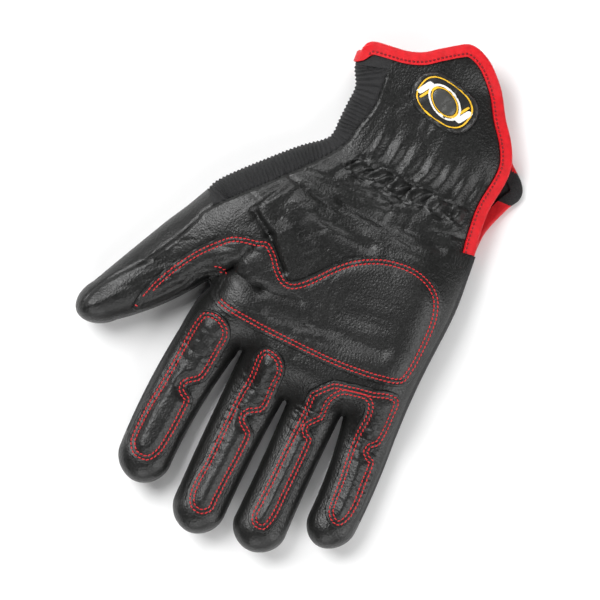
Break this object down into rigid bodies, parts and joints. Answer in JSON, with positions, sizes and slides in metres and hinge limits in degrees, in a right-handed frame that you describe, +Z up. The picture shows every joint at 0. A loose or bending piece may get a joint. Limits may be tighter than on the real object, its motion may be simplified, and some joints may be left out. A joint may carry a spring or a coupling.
{
  "type": "work glove",
  "caption": "Leather work glove with stitched palm and finger overlays, ribbed knit back, gathered wrist and bound cuff with a side slit, lying palm up.",
  "frame": {"origin": "under the middle of the glove's box, at the height of the surface that it lies on", "axes": "+Z up out of the palm, +Y from the fingertips to the cuff, +X towards the little finger, with the thumb at -X"},
  "size_m": [0.1672, 0.2552, 0.0309],
  "materials": {
    "leather": "grained, semi-matt",
    "patch_leather": "grained, semi-matt",
    "knit": "ribbed, matt",
    "binding_tape": "woven, satin",
    "badge_rubber": "satin",
    "badge_yellow": "satin",
    "badge_white": "satin",
    "thread": "twisted thread"
  },
  "bodies": {
    "root": {"palm_panel": "leather", "back_panel": "knit", "thumb_back": "leather", "index_tip_back": "leather", "middle_tip_back": "leather", "ring_tip_back": "leather", "little_tip_back": "leather", "fourchette_index_middle": "leather", "fourchette_middle_ring": "leather", "fourchette_ring_little": "leather", "palm_patch": "patch_leather", "index_patch": "patch_leather", "middle_patch": "patch_leather", "ring_little_patch": "patch_leather", "cuff_binding": "binding_tape", "badge_plate": "badge_rubber", "badge_rim": "badge_yellow", "badge_emblem": "badge_white"}
  },
  "joints": []
}
